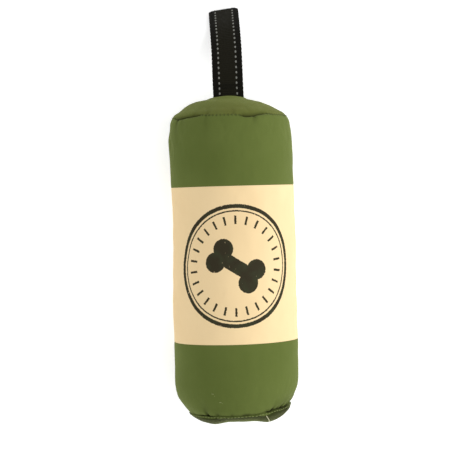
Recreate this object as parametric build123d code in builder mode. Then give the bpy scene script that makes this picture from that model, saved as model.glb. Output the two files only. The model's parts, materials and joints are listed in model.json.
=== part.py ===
"""Stuffed dog training bumper: a sewn fabric roll lying on its side, with a webbing hand loop at one end.

Units are millimetres. +Z is up and the bumper lies on the plane Z = 0. Its long axis runs along Y, and the
loop is at the +Y end, drooping from the middle of that end down to the floor. The origin is the middle of the
flat patch that the bumper rests on.
"""

import os
from math import cos, radians, sin

from build123d import *

# ---- driving dimensions: stuffed body ----
BODY_LENGTH = 270.0
BODY_RADIUS = 51.0
AXIS_HEIGHT = 47.5  # under the radius, because the stuffed roll settles on a flat patch
CLOTH = 0.8  # cover fabric

STRAP_SEAM_RADIUS = 47.3  # ring seam round the domed strap end
STRAP_DOME_HEIGHT = 18.2
STRAP_SHOULDER = 19.8  # length over which the sleeve narrows to that seam
PLAIN_SEAM_RADIUS = 39.0  # ring seam round the flatter plain end
PLAIN_DOME_HEIGHT = 7.0
PLAIN_SHOULDER = 29.0
BAND_TOP = 60.0  # the pale middle band's two edges, along Y
BAND_BOTTOM = -66.5

ALLOWANCE_DEPTH = 7.0  # seam allowance turned inwards
CENTRE_ALLOWANCE_DEPTH = 15.0  # the same in the seam across the strap end
THREAD = 0.6
THREAD_INSET = 1.2  # how far under the surface the seam thread runs
SIDE_SEAM_ANGLE = 150.0  # from straight up, towards -X

CORE_RADIUS = 30.0
CORE_LENGTH = 190.0

# ---- driving dimensions: webbing hand loop ----
WEBBING_WIDTH = 25.0
WEBBING = 1.8
LEG_GAP = 0.1  # between the two legs where they are sewn together
TAIL_LENGTH = 22.0  # sewn-in ends behind the strap end
TAIL_SLACK = 0.1  # each side of the tails in the centre seam
FOLD_CLEARANCE = 0.3
NECK_LENGTH = 10.6  # doubled stretch just outside the body
UPPER_BEND_RADIUS = 62.0
UPPER_SLOPE = 54.0
TIP_FOLD_RADIUS = 4.0
NECK_BEND_RADIUS = 10.0
LOWER_BEND_RADIUS = 44.0
LOWER_SLOPE = 64.0

TRACER_OFFSET = 7.2  # each row of tracer yarn from the webbing's middle
TRACER_WIDTH = 1.2
TRACER = 0.3
TRACER_PROUD = 0.05

TACK_RADIUS = 0.4
TACK_PITCH = 3.4  # keeps the stitches clear of the tracer yarns
TACK_COUNT = 8
TAIL_TACK_INSET = 4.0  # rows of stitches from each end of the sewn-in tails

# ---- derived places ----
BODY_END = BODY_LENGTH / 2
STRAP_SEAM_Y = BODY_END - STRAP_DOME_HEIGHT
PLAIN_SEAM_Y = PLAIN_DOME_HEIGHT - BODY_END
AXIS_PLANE = Plane.XY.offset(AXIS_HEIGHT)
BODY_AXIS = Axis((0, 0, AXIS_HEIGHT), (0, 1, 0))

KNUCKLE_RADIUS = WEBBING + LEG_GAP / 2
HINGE_Y = BODY_END + FOLD_CLEARANCE + KNUCKLE_RADIUS
LEG_OFFSET = (WEBBING + LEG_GAP) / 2  # centre line of each leg from the body's axis
SLOT_HEIGHT = KNUCKLE_RADIUS + TAIL_SLACK  # half the room for the webbing's ends
SLOT_WIDTH = WEBBING_WIDTH + 2 * TAIL_SLACK
LOOP_FLOOR = WEBBING / 2 + TRACER_PROUD  # centre line's height where the loop touches the floor

os.makedirs("parts", exist_ok=True)


def save(builder, name):
    """Names a finished piece and writes its STEP file."""
    builder.part.label = name
    export_step(builder.part, f"parts/{name}.step")


def corner_shift(seam_radius, dome_height, shoulder_length, inset):
    """How far a ring seam's corner moves in from the side and the end when the outside moves in by inset."""
    drop = BODY_RADIUS - seam_radius
    dome_radius = (seam_radius**2 + dome_height**2) / (2 * dome_height)
    shoulder_radius = (shoulder_length**2 + drop**2) / (2 * drop)
    dome_normal = Vector(seam_radius, dome_radius - dome_height) / dome_radius
    shoulder_normal = Vector(shoulder_radius - drop, shoulder_length) / shoulder_radius
    return (dome_normal + shoulder_normal) * (inset / (1 + dome_normal.dot(shoulder_normal)))


def filled_body(inset):
    """The bumper's outside moved inwards by inset, with the flat patch that it rests on."""
    strap_shift = corner_shift(STRAP_SEAM_RADIUS, STRAP_DOME_HEIGHT, STRAP_SHOULDER, inset)
    plain_shift = corner_shift(PLAIN_SEAM_RADIUS, PLAIN_DOME_HEIGHT, PLAIN_SHOULDER, inset)
    strap_apex = (0, BODY_END - inset)
    strap_seam = (STRAP_SEAM_RADIUS - strap_shift.X, STRAP_SEAM_Y - strap_shift.Y)
    strap_shoulder = (BODY_RADIUS - inset, STRAP_SEAM_Y - STRAP_SHOULDER)
    plain_shoulder = (BODY_RADIUS - inset, PLAIN_SEAM_Y + PLAIN_SHOULDER)
    plain_seam = (PLAIN_SEAM_RADIUS - plain_shift.X, PLAIN_SEAM_Y + plain_shift.Y)
    plain_apex = (0, inset - BODY_END)
    with BuildPart() as block:
        with BuildSketch(AXIS_PLANE):
            with BuildLine():
                TangentArc(strap_apex, strap_seam, tangent=(1, 0))
                TangentArc(strap_shoulder, strap_seam, tangent=(0, 1))
                Line(strap_shoulder, plain_shoulder)
                TangentArc(plain_shoulder, plain_seam, tangent=(0, -1))
                TangentArc(plain_apex, plain_seam, tangent=(1, 0))
                Line(plain_apex, strap_apex)
            make_face()
        revolve(axis=BODY_AXIS)
        split(bisect_by=Plane.XY.offset(inset), keep=Keep.TOP)
    return block.part


def across(y):
    """The plane across the bumper at a place along its length, facing -Y."""
    return Plane.XZ.offset(-y)


def allowance(body, y, radius, towards):
    """The edge of a panel turned inwards at a ring seam, on the side that towards (+1 or -1) points to."""
    with BuildPart() as ring:
        with BuildSketch(across(y)):
            with Locations((0, AXIS_HEIGHT)):
                Circle(radius + CLOTH)
                Circle(radius - ALLOWANCE_DEPTH, mode=Mode.SUBTRACT)
        extrude(amount=-towards * CLOTH)
        add(body, mode=Mode.INTERSECT)
    return ring.part


def side_allowance(low, high):
    """The sleeve's two long edges, turned inwards together at the side seam."""
    with BuildPart() as fin:
        with BuildSketch(across(low)):
            with Locations((0, AXIS_HEIGHT)):
                with PolarLocations(BODY_RADIUS, 1, start_angle=90 + SIDE_SEAM_ANGLE):
                    Rectangle(2 * ALLOWANCE_DEPTH, 2 * CLOTH)
        extrude(amount=low - high)
        add(whole_body, mode=Mode.INTERSECT)
    return fin.part


def ring_thread(y, radius):
    """The thread of a ring seam, just under the surface and flattened with the patch."""
    with BuildPart() as thread:
        with BuildSketch(across(y - THREAD / 2)):
            with Locations((0, AXIS_HEIGHT)):
                Circle(radius - THREAD_INSET)
            with Locations((0, THREAD_INSET)):
                Rectangle(
                    4 * BODY_RADIUS,
                    4 * BODY_RADIUS,
                    align=(Align.CENTER, Align.MIN),
                    mode=Mode.INTERSECT,
                )
            offset(amount=-THREAD, mode=Mode.SUBTRACT)
        extrude(amount=-THREAD)
    return thread


def between(low, high):
    """Cuts the current part down to the stretch from low to high along Y."""
    split(bisect_by=across(low), keep=Keep.BOTTOM)
    split(bisect_by=across(high), keep=Keep.TOP)


def sleeve_panel(low, high, low_radius, high_radius):
    """One tube of cover fabric with both its edges turned in."""
    with BuildPart() as panel:
        add(whole_body)
        add(cavity, mode=Mode.SUBTRACT)
        between(low, high)
        add(allowance(whole_body, low, low_radius, 1))
        add(allowance(whole_body, high, high_radius, -1))
        add(side_allowance(low, high))
        for thread in threads:
            add(thread.part, mode=Mode.SUBTRACT)
    return panel


def centre_allowance(side):
    """The edge of one strap-end half turned inwards, stepping over the webbing's ends."""
    depth = 2 * CENTRE_ALLOWANCE_DEPTH
    with BuildPart() as flange:
        with BuildSketch(AXIS_PLANE.offset(side * CLOTH / 2)):
            with Locations((0, BODY_END)):
                Rectangle(2 * STRAP_SEAM_RADIUS, depth)
        extrude(amount=CLOTH / 2, both=True)
        with BuildSketch(AXIS_PLANE.offset(side * (SLOT_HEIGHT + CLOTH) / 2)):
            with Locations((0, BODY_END)):
                Rectangle(SLOT_WIDTH + 2 * CLOTH, depth)
        extrude(amount=(SLOT_HEIGHT + CLOTH) / 2, both=True)
        add(whole_body, mode=Mode.INTERSECT)
    return flange.part


def strap_end_half(side):
    """Half of the domed end. The halves meet in a seam across the middle, with the webbing's ends in it."""
    with BuildPart() as half:
        add(whole_body)
        add(cavity, mode=Mode.SUBTRACT)
        split(bisect_by=across(STRAP_SEAM_Y), keep=Keep.BOTTOM)
        add(allowance(whole_body, STRAP_SEAM_Y, STRAP_SEAM_RADIUS, 1))
        split(bisect_by=AXIS_PLANE, keep=Keep.TOP if side > 0 else Keep.BOTTOM)
        add(centre_allowance(side))
        with BuildSketch(AXIS_PLANE):
            with Locations((0, BODY_END)):
                Rectangle(SLOT_WIDTH, 4 * STRAP_DOME_HEIGHT)
        extrude(amount=SLOT_HEIGHT, both=True, mode=Mode.SUBTRACT)
        for thread in threads:
            add(thread.part, mode=Mode.SUBTRACT)
        add(tail_stitching.part, mode=Mode.SUBTRACT)
    return half


def loop_path(outwards=0.0):
    """The hand loop's centre line, from the fold axis over the tip and back, moved outwards.

    Every bend is an arc tangent to its neighbours, so an offset line only changes the radii.
    """
    upper, lower = radians(UPPER_SLOPE), radians(LOWER_SLOPE)
    neck_end = HINGE_Y + NECK_LENGTH
    top = AXIS_HEIGHT + LEG_OFFSET
    bottom = AXIS_HEIGHT - LEG_OFFSET
    upper_drop = UPPER_BEND_RADIUS * (1 - cos(upper)) + TIP_FOLD_RADIUS * (1 + cos(upper))
    upper_run = (top - upper_drop - LOOP_FLOOR) / sin(upper)
    tip_y = neck_end + (UPPER_BEND_RADIUS - TIP_FOLD_RADIUS) * sin(upper) + upper_run * cos(upper)
    lower_drop = (NECK_BEND_RADIUS + LOWER_BEND_RADIUS) * (1 - cos(lower))
    lower_run = (bottom - lower_drop - LOOP_FLOOR) / sin(lower)
    touch_y = neck_end + (NECK_BEND_RADIUS + LOWER_BEND_RADIUS) * sin(lower) + lower_run * cos(lower)
    neck = Line((HINGE_Y, top + outwards), (neck_end, top + outwards))
    over = JernArc(neck @ 1, neck % 1, UPPER_BEND_RADIUS + outwards, -UPPER_SLOPE)
    down = PolarLine(over @ 1, upper_run, direction=over % 1)
    tip = JernArc(down @ 1, down % 1, TIP_FOLD_RADIUS + outwards, UPPER_SLOPE - 180)
    along = PolarLine(tip @ 1, tip_y - touch_y, direction=tip % 1)
    rise = JernArc(along @ 1, along % 1, LOWER_BEND_RADIUS + outwards, -LOWER_SLOPE)
    up = PolarLine(rise @ 1, lower_run, direction=rise % 1)
    level = JernArc(up @ 1, up % 1, NECK_BEND_RADIUS - outwards, LOWER_SLOPE)
    Line(level @ 1, (HINGE_Y, bottom - outwards))


def tracer_yarn(x):
    """One row of tracer yarn, woven into the outside of the loop."""
    with BuildPart() as yarn:
        with BuildSketch(Plane.YZ.offset(x - TRACER_WIDTH / 2)):
            with BuildLine():
                loop_path(WEBBING / 2 + TRACER_PROUD - TRACER / 2)
            trace(line_width=TRACER)
        extrude(amount=TRACER_WIDTH)
    return yarn


def tack_stitches(rows, height):
    """Rows of bar-tack stitches straight through the doubled webbing."""
    with BuildPart() as stitches:
        with BuildSketch(AXIS_PLANE.offset(-height / 2)):
            for y in rows:
                with Locations((0, y)):
                    with GridLocations(TACK_PITCH, 0, TACK_COUNT, 1):
                        Circle(TACK_RADIUS)
        extrude(amount=height)
    return stitches


whole_body = filled_body(0)
cavity = filled_body(CLOTH)

# ---- seam threads ----
strap_ring_thread = ring_thread(STRAP_SEAM_Y, STRAP_SEAM_RADIUS)
band_top_thread = ring_thread(BAND_TOP, BODY_RADIUS)
band_bottom_thread = ring_thread(BAND_BOTTOM, BODY_RADIUS)
plain_ring_thread = ring_thread(PLAIN_SEAM_Y, PLAIN_SEAM_RADIUS)

side_seam_radius = BODY_RADIUS - THREAD_INSET - 2 * THREAD
side_seam_low = PLAIN_SEAM_Y + PLAIN_SHOULDER
side_seam_high = STRAP_SEAM_Y - STRAP_SHOULDER
with BuildPart() as side_seam_thread:
    with BuildSketch(across(side_seam_low)):
        with Locations((0, AXIS_HEIGHT)):
            with PolarLocations(side_seam_radius, 1, start_angle=90 + SIDE_SEAM_ANGLE):
                Rectangle(THREAD, THREAD)
    extrude(amount=side_seam_low - side_seam_high)

centre_seam_end = STRAP_SEAM_RADIUS - ALLOWANCE_DEPTH
centre_seam_start = SLOT_WIDTH / 2 + 2 * THREAD
with BuildPart() as centre_seam_thread:
    add(filled_body(THREAD_INSET))
    add(filled_body(THREAD_INSET + THREAD), mode=Mode.SUBTRACT)
    with BuildSketch(AXIS_PLANE):
        for side in (-1, 1):
            with Locations((side * (centre_seam_start + centre_seam_end) / 2, BODY_END)):
                Rectangle(centre_seam_end - centre_seam_start, 2 * STRAP_DOME_HEIGHT)
    extrude(amount=THREAD / 2, both=True, mode=Mode.INTERSECT)

threads = [
    strap_ring_thread,
    band_top_thread,
    band_bottom_thread,
    plain_ring_thread,
    side_seam_thread,
    centre_seam_thread,
]

# ---- webbing ends sewn into the strap end ----
tail_start = BODY_END - TAIL_LENGTH
tail_tack_rows = (BODY_END - TAIL_TACK_INSET, tail_start + TAIL_TACK_INSET)
tail_stitching = tack_stitches(tail_tack_rows, 2 * (SLOT_HEIGHT + CLOTH))

with BuildPart() as handle_tails:
    for side in (-1, 1):
        with BuildSketch(AXIS_PLANE.offset(side * LEG_OFFSET)):
            with Locations((0, (tail_start + BODY_END) / 2)):
                Rectangle(WEBBING_WIDTH, TAIL_LENGTH)
        extrude(amount=WEBBING / 2, both=True)
    add(tail_stitching.part, mode=Mode.SUBTRACT)

# ---- cover panels ----
upper_panel = sleeve_panel(BAND_TOP, STRAP_SEAM_Y, BODY_RADIUS, STRAP_SEAM_RADIUS)
middle_band = sleeve_panel(BAND_BOTTOM, BAND_TOP, BODY_RADIUS, BODY_RADIUS)
lower_panel = sleeve_panel(PLAIN_SEAM_Y, BAND_BOTTOM, PLAIN_SEAM_RADIUS, BODY_RADIUS)
strap_end_upper_half = strap_end_half(1)
strap_end_lower_half = strap_end_half(-1)

with BuildPart() as plain_end_disc:
    add(whole_body)
    add(cavity, mode=Mode.SUBTRACT)
    split(bisect_by=across(PLAIN_SEAM_Y), keep=Keep.TOP)
    add(allowance(whole_body, PLAIN_SEAM_Y, PLAIN_SEAM_RADIUS, -1))
    add(plain_ring_thread.part, mode=Mode.SUBTRACT)

# ---- filling ----
with BuildPart() as foam_core:
    with BuildSketch(across(CORE_LENGTH / 2)):
        with Locations((0, AXIS_HEIGHT)):
            Circle(CORE_RADIUS)
    extrude(amount=CORE_LENGTH)
    chamfer(foam_core.edges().filter_by(GeomType.CIRCLE), length=3)

ring_seams = (
    (STRAP_SEAM_Y, STRAP_SEAM_RADIUS),
    (BAND_TOP, BODY_RADIUS),
    (BAND_BOTTOM, BODY_RADIUS),
    (PLAIN_SEAM_Y, PLAIN_SEAM_RADIUS),
)
with BuildPart() as fibre_filling:
    add(cavity)
    add(foam_core.part, mode=Mode.SUBTRACT)
    for seam_y, seam_radius in ring_seams:
        with BuildSketch(across(seam_y - CLOTH)):
            with Locations((0, AXIS_HEIGHT)):
                Circle(2 * BODY_RADIUS)
                Circle(seam_radius - ALLOWANCE_DEPTH, mode=Mode.SUBTRACT)
        extrude(amount=-2 * CLOTH, mode=Mode.SUBTRACT)
    with BuildSketch(AXIS_PLANE):
        with Locations((0, BODY_END)):
            Rectangle(4 * BODY_RADIUS, 2 * CENTRE_ALLOWANCE_DEPTH)
    extrude(amount=CLOTH, both=True, mode=Mode.SUBTRACT)
    with BuildSketch(AXIS_PLANE):
        with Locations((0, BODY_END)):
            Rectangle(SLOT_WIDTH + 2 * CLOTH, 2 * TAIL_LENGTH)
    extrude(amount=SLOT_HEIGHT + CLOTH, both=True, mode=Mode.SUBTRACT)
    add(side_allowance(PLAIN_SEAM_Y, STRAP_SEAM_Y), mode=Mode.SUBTRACT)

# ---- hand loop ----
tracer_yarn_left = tracer_yarn(-TRACER_OFFSET)
tracer_yarn_right = tracer_yarn(TRACER_OFFSET)

neck_bar_tack = tack_stitches([HINGE_Y + NECK_LENGTH / 2], 2 * KNUCKLE_RADIUS)

with BuildPart() as handle_loop:
    with BuildSketch(Plane.YZ.offset(-WEBBING_WIDTH / 2)):
        with BuildLine():
            loop_path()
        trace(line_width=WEBBING)
        with Locations((HINGE_Y, AXIS_HEIGHT)):
            Circle(KNUCKLE_RADIUS)
    extrude(amount=WEBBING_WIDTH)
    for inlay in (tracer_yarn_left, tracer_yarn_right, neck_bar_tack):
        add(inlay.part, mode=Mode.SUBTRACT)

for piece, name in (
    (upper_panel, "upper_panel"),
    (middle_band, "middle_band"),
    (lower_panel, "lower_panel"),
    (strap_end_upper_half, "strap_end_upper_half"),
    (strap_end_lower_half, "strap_end_lower_half"),
    (plain_end_disc, "plain_end_disc"),
    (strap_ring_thread, "strap_ring_thread"),
    (band_top_thread, "band_top_thread"),
    (band_bottom_thread, "band_bottom_thread"),
    (plain_ring_thread, "plain_ring_thread"),
    (side_seam_thread, "side_seam_thread"),
    (centre_seam_thread, "centre_seam_thread"),
    (foam_core, "foam_core"),
    (fibre_filling, "fibre_filling"),
    (handle_tails, "handle_tails"),
    (tail_stitching, "tail_stitching"),
    (handle_loop, "handle_loop"),
    (tracer_yarn_left, "tracer_yarn_left"),
    (tracer_yarn_right, "tracer_yarn_right"),
    (neck_bar_tack, "neck_bar_tack"),
):
    save(piece, name)
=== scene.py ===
"""Looks of a stuffed canvas training bumper with a webbing hand loop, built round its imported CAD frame.

Everything is in metres, in the CAD's frame: the body's axis runs along Y and +Z is up. Angles round the body
start at +X and turn towards +Z. Places along the cover are lengths along its outside, from the webbing's
slot in the strap end to the middle of the plain end.
"""

import json
import math

import bpy
import numpy as np
from mathutils import Matrix, Vector, noise

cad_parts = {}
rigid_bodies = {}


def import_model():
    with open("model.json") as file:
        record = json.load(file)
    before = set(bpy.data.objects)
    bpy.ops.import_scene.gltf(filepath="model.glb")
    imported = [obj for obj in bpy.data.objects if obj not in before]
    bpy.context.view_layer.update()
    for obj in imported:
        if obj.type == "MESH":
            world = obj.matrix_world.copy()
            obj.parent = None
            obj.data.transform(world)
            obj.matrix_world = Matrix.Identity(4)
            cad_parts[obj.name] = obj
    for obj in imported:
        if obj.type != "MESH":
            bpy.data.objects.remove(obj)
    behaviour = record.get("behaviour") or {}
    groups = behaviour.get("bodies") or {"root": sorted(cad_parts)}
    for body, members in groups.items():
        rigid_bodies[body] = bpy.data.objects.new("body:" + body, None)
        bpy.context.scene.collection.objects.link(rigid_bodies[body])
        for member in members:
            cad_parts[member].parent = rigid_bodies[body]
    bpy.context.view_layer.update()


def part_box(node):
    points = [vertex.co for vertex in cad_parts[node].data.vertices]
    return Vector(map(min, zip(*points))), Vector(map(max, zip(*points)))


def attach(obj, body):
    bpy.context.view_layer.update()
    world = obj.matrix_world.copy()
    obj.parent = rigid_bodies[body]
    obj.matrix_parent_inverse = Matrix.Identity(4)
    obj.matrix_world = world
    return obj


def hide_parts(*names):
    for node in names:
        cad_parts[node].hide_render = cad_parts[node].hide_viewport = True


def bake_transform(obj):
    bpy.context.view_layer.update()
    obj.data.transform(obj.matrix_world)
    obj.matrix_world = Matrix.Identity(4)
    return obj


for leftover in list(bpy.data.objects):
    bpy.data.objects.remove(leftover)

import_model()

MM = 0.001
TURN = 2 * math.pi
dice = np.random.default_rng(11)

# ---- places read from the CAD frame ----
band_low, band_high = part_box("middle_band")
_, upper_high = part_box("upper_panel")
lower_low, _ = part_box("lower_panel")
_, dome_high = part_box("strap_end_upper_half")
disc_low, disc_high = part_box("plain_end_disc")
loop_low, loop_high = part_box("handle_loop")
tails_low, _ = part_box("handle_tails")
tack_low, tack_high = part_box("neck_bar_tack")

RADIUS = (band_high.x - band_low.x) / 2
AXIS_Z = band_high.z - RADIUS
STRAP_APEX = dome_high.y
STRAP_SEAM_Y = upper_high.y
STRAP_SEAM_RADIUS = dome_high.x
PLAIN_APEX = disc_low.y
PLAIN_SEAM_Y = lower_low.y
PLAIN_SEAM_RADIUS = disc_high.x
BAND_TOP_Y = band_high.y
BAND_BOTTOM_Y = band_low.y

# ---- cover shape ----
STRAP_SHOULDER = 19.8 * MM
DOME_FLARE = 1.2 * MM  # how much the strap end hollows before it rises to the webbing
DOME_FLARE_RADIUS = 19 * MM
DOME_FLARE_REACH = 6.5 * MM
DOME_SIDE_SHIFT = 2.9 * MM  # how far the strap end leans to the left
DOME_FLAT = 1 * MM  # how much lower than the dome the cloth sits over the middle of the webbing
DOME_FLAT_REACH = 10 * MM
PLAIN_SHOULDER = 29 * MM
SLOT_HALF_WIDTH = 12.9 * MM
SLOT_HALF_HEIGHT = 2.1 * MM
POLE_RADIUS = 1.2 * MM
PLAIN_SEAM_LIFT = 8.2 * MM  # how much nearer the middle the plain end's seam is at its right side
PLAIN_SEAM_RAISE = 4 * MM  # and how much nearer it is all round
PLAIN_LIFT_REACH = 20 * MM  # how far before the narrowing part the cloth starts to draw up
PLAIN_TUCK = 2.2 * MM  # how much the plain end draws in at both sides
PLAIN_TUCK_REACH = 18 * MM
PLAIN_BULGE_Y = PLAIN_APEX - 2.5 * MM
PLAIN_FULLNESS = 2  # 2 is a round rim, more is squarer
PLAIN_FULLER_RIGHT = 0.25
PLAIN_TROUGH = 4 * MM
PLAIN_TROUGH_X = 3 * MM
PLAIN_TROUGH_REACH = 18 * MM
WAIST = 0.8 * MM  # the body is a little slimmer and bows to the right just above its middle
BOW = 1.4 * MM
WAIST_Y = 32 * MM
WAIST_REACH = 45 * MM
AROUND = 384  # points round each row of the cover

# ---- webbing ----
WEBBING = 1.8 * MM  # its thickness
WEBBING_WIDTH = loop_high.x - loop_low.x
RIB_PITCH = 1.8 * MM
CORD_PITCH = 0.9 * MM
TRACER_OFFSET = 7.2 * MM
TRACER_PITCH = 4.3 * MM
TRACER_DOT = (2.1 * MM, 1.5 * MM, 0.7 * MM)
TACK_STITCH = (1.6 * MM, 0.5 * MM, 0.45 * MM)
TACK_ROW_PITCH = 1.1 * MM
SEWN_END_Y = tails_low.y + 2 * MM
LEG_OFFSET = 0.95 * MM
UPPER_BEND_RADIUS = 62 * MM
UPPER_SLOPE = math.radians(54)
TIP_FOLD_RADIUS = 4 * MM
NECK_BEND_RADIUS = 10 * MM
LOWER_BEND_RADIUS = 44 * MM
LOWER_SLOPE = math.radians(64)
LOOP_FLOOR = 0.95 * MM
LOOP_LEAN = -0.028  # sideways for each metre out from the body
LOOP_BOW = 0.5 * MM
LOOP_TIP_SLANT = 0.135  # how much further out the right edge reaches
TIP_ROUNDING = 1.7 * MM  # how much the tip's right corner is cut back
TIP_CORNER_START = 8 * MM
TIP_CORNER_WIDTH = 4.5 * MM
TIP_REACH = 9 * MM


# ---- numbers and curves ----


def smooth(value, low, high):
    """0 below low, 1 above high, with a smooth rise between."""
    t = np.clip((value - low) / (high - low), 0, 1)
    return t * t * (3 - 2 * t)


def bump(distance, width):
    return np.exp(-((distance / width) ** 2))


def tangent_arc(start, heading, end, count=120):
    """Points on the circular arc that leaves start at a heading and reaches end."""
    start, end = np.array(start), np.array(end)
    chord = end - start
    turn = math.atan2(chord[1], chord[0]) - heading
    turn = (turn + math.pi) % TURN - math.pi
    t = np.linspace(0, 1, count)
    reach = np.hypot(*chord) * np.sin(turn * t) / math.sin(turn)
    return start + reach[:, None] * np.stack([np.cos(heading + turn * t), np.sin(heading + turn * t)], 1)


def lengths_along(points):
    steps = np.linalg.norm(np.diff(points, axis=0), axis=1)
    return np.concatenate([[0], np.cumsum(steps)])


def cubic(values, places, loop):
    """Catmull-Rom values at fractional indices along the first axis, wrapping round if loop is set."""
    count = len(values)
    base = np.floor(places).astype(int)
    t = (places - base).reshape(-1, *([1] * (values.ndim - 1)))

    def at(offset):
        index = base + offset
        return values[index % count] if loop else values[np.clip(index, 0, count - 1)]

    a, b, c, d = at(-1), at(0), at(1), at(2)
    return b + 0.5 * t * (c - a + t * (2 * a - 5 * b + 4 * c - d + t * (3 * (b - c) + d - a)))


def ring_noise(angles, waves, seed):
    """Smooth noise round a ring, about -1 to 1, with about that many waves in a turn."""
    reach = waves / TURN
    found = [
        noise.noise(Vector((reach * math.cos(a), reach * math.sin(a), seed * 7.3))) for a in angles
    ]
    return 1.8 * np.array(found)


# ---- the cover's outside ----

SHOULDER_Y = STRAP_SEAM_Y - STRAP_SHOULDER
FOOT_Y = PLAIN_SEAM_Y + PLAIN_SHOULDER
dome = tangent_arc((0, STRAP_APEX), 0, (STRAP_SEAM_RADIUS, STRAP_SEAM_Y))
shoulder = tangent_arc((RADIUS, SHOULDER_Y), math.pi / 2, (STRAP_SEAM_RADIUS, STRAP_SEAM_Y))[::-1]
foot = tangent_arc((RADIUS, FOOT_Y), -math.pi / 2, (PLAIN_SEAM_RADIUS, PLAIN_SEAM_Y))
disc = tangent_arc((0, PLAIN_APEX), 0, (PLAIN_SEAM_RADIUS, PLAIN_SEAM_Y))[::-1]
profile = np.concatenate([dome, shoulder[1:], foot, disc[1:]])
profile_lengths = lengths_along(profile)

S_STRAP_SEAM = lengths_along(dome)[-1]
S_SHOULDER_END = S_STRAP_SEAM + lengths_along(shoulder)[-1]
S_BAND_TOP = S_SHOULDER_END + SHOULDER_Y - BAND_TOP_Y
S_BAND_BOTTOM = S_BAND_TOP + BAND_TOP_Y - BAND_BOTTOM_Y
S_FOOT_START = S_BAND_BOTTOM + BAND_BOTTOM_Y - FOOT_Y
S_PLAIN_SEAM = S_FOOT_START + lengths_along(foot)[-1]
S_POLE = profile_lengths[-1] - POLE_RADIUS
dome_depth = STRAP_APEX - STRAP_SEAM_Y
dome_radius = (STRAP_SEAM_RADIUS**2 + dome_depth**2) / (2 * dome_depth)


def cover_points(s, angles):
    """The CAD outside as a grid of points, with a row for each place s and a column for each angle."""
    s = s[:, None] + 0 * angles[None]
    angles = angles[None] + 0 * s
    lift = PLAIN_SEAM_LIFT * ((1 + np.cos(angles)) / 2) ** 4 + PLAIN_SEAM_RAISE
    slid = np.minimum(s, S_PLAIN_SEAM) - lift * smooth(s, S_FOOT_START - PLAIN_LIFT_REACH, S_PLAIN_SEAM)
    round_rim = np.maximum(s - S_PLAIN_SEAM, 0) / (profile_lengths[-1] - S_PLAIN_SEAM) * math.pi / 2
    fullness = PLAIN_FULLNESS + PLAIN_FULLER_RIGHT * np.cos(angles)
    tuck = smooth(s, S_PLAIN_SEAM - PLAIN_TUCK_REACH, S_PLAIN_SEAM)
    tuck = PLAIN_TUCK * np.abs(np.cos(angles)) ** 3 * tuck
    radius = (np.interp(slid, profile_lengths, profile[:, 0]) - tuck) * np.cos(round_rim) ** (2 / fullness)
    y = np.interp(slid, profile_lengths, profile[:, 1])
    y -= (y - PLAIN_BULGE_Y) * np.sin(round_rim) ** (2 / fullness)
    at_waist = bump(y - WAIST_Y, WAIST_REACH)
    radius -= WAIST * at_waist
    x = radius * np.cos(angles) + BOW * at_waist
    z = radius * np.sin(angles)
    on_dome = s < S_STRAP_SEAM
    share = np.clip(s / S_STRAP_SEAM, 0, 1)
    slot_x = SLOT_HALF_WIDTH * np.cos(angles)
    slot_z = SLOT_HALF_HEIGHT * np.sign(np.sin(angles)) * np.abs(np.sin(angles)) ** 0.4
    dome_x = share * STRAP_SEAM_RADIUS * np.cos(angles) + (1 - share) * slot_x
    dome_z = share * STRAP_SEAM_RADIUS * np.sin(angles) + (1 - share) * slot_z
    from_axis = np.hypot(dome_x, dome_z)
    dome_y = STRAP_APEX - dome_radius + np.sqrt(dome_radius**2 - from_axis**2)
    dome_y -= DOME_FLARE * bump(from_axis - DOME_FLARE_RADIUS, DOME_FLARE_REACH)
    dome_y -= DOME_FLAT * bump(from_axis, DOME_FLAT_REACH)
    dome_x -= DOME_SIDE_SHIFT * bump(share - 0.4, 0.35)
    x = np.where(on_dome, dome_x, x)
    y = np.where(on_dome, dome_y, y)
    z = np.where(on_dome, dome_z, z)
    return np.stack([x, y, np.maximum(z + AXIS_Z, 0)], 2)


def grid_normals(grid):
    """Outward normals of a grid of points that closes round its columns."""
    along = np.gradient(grid, axis=0)
    around = np.roll(grid, -1, 1) - np.roll(grid, 1, 1)
    normals = np.cross(along, around)
    normals /= np.linalg.norm(normals, axis=2, keepdims=True) + 1e-12
    outward = grid - np.array([0, 0, AXIS_Z])
    if np.sum(normals * outward) < 0:
        normals = -normals
    return normals


# ---- meshes ----


def grid_mesh(name, grid, uv=None, closed=True, caps=()):
    """A mesh of quads from a grid of points, with a face over each capped row.

    A closed grid's last column joins its first. Only the first row, 0, and the last one, -1, can be capped.
    """
    rows, columns = grid.shape[:2]
    index = np.arange(rows * columns).reshape(rows, columns)
    step = np.arange(columns if closed else columns - 1)
    after = (step + 1) % columns
    quads = np.stack([index[:-1][:, step], index[:-1][:, after], index[1:][:, after], index[1:][:, step]], 2)
    faces = quads.reshape(-1, 4).tolist()
    faces += [(index[row] if row else index[row, ::-1]).tolist() for row in caps]
    mesh = bpy.data.meshes.new(name)
    mesh.from_pydata(grid.reshape(-1, 3).tolist(), [], faces)
    mesh.shade_smooth()
    if uv is not None:
        corners = np.stack([uv[:-1][:, step], uv[:-1][:, step + 1], uv[1:][:, step + 1], uv[1:][:, step]], 2)
        cap_corners = [uv[row, :columns] if row else uv[row, :columns][::-1] for row in caps]
        spots = np.concatenate([corners.reshape(-1, 2), *cap_corners])
        layer = mesh.uv_layers.new(name="cloth")
        layer.data.foreach_set("uv", spots.astype(np.float32).ravel())
    mesh.update()
    return mesh


def linked(name, data):
    """A new object in the scene."""
    made = bpy.data.objects.new(name, data)
    bpy.context.scene.collection.objects.link(made)
    return made


def add_piece(name, mesh, material, slot, *nodes):
    """An object that takes the given material and stands for CAD nodes, which it hides. Its slot is not
    used.
    """
    piece = linked(name, mesh)
    mesh.materials.append(material)
    if nodes:
        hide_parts(*nodes)
    return piece


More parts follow.
